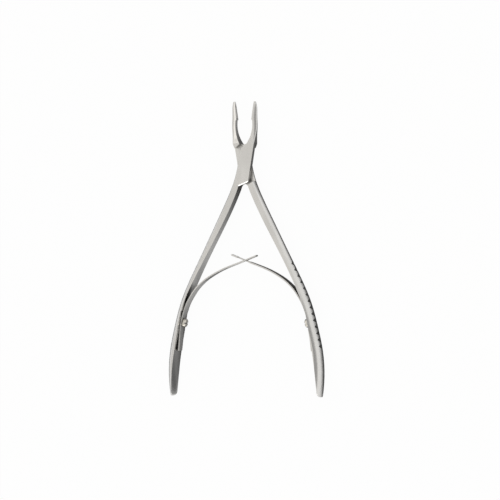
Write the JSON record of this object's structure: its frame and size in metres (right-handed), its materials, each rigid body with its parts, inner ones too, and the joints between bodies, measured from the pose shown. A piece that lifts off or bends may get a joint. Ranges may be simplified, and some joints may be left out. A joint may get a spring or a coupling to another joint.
{
  "type": "bone rongeur",
  "caption": "Slim steel bone-cutting pliers with a lap joint, straight cupped jaws, bowed grooved handles and two interlocked leaf springs between them.",
  "frame": {"origin": "on the pivot axis, in the plane of the flat front face of the joint", "axes": "+Y along the tool towards the jaw tips, +Z out of the front face along the pivot axis, +X to the right as seen from the front"},
  "size_m": [0.0842, 0.1494, 0.01],
  "materials": {
    "lever_steel": "satin",
    "spring_steel": "satin",
    "screw_steel": "satin"
  },
  "bodies": {
    "back_side": {"back_lever": "lever_steel", "right_spring": "spring_steel", "right_spring_screw": "screw_steel"},
    "front_side": {"front_lever": "lever_steel", "pivot_screw": "screw_steel", "left_spring": "spring_steel", "left_spring_screw": "screw_steel"}
  },
  "joints": [
    {"name": "jaw_pivot", "type": "hinge", "parent": "back_side", "child": "front_side", "pos_m": [0, 0, 0], "axis": [0, 0, 1], "range_deg": [0, 18.9], "stiffness_Nm_per_rad": 1.5, "springref_deg": -2.86, "deforming": ["left_spring", "right_spring"]}
  ]
}
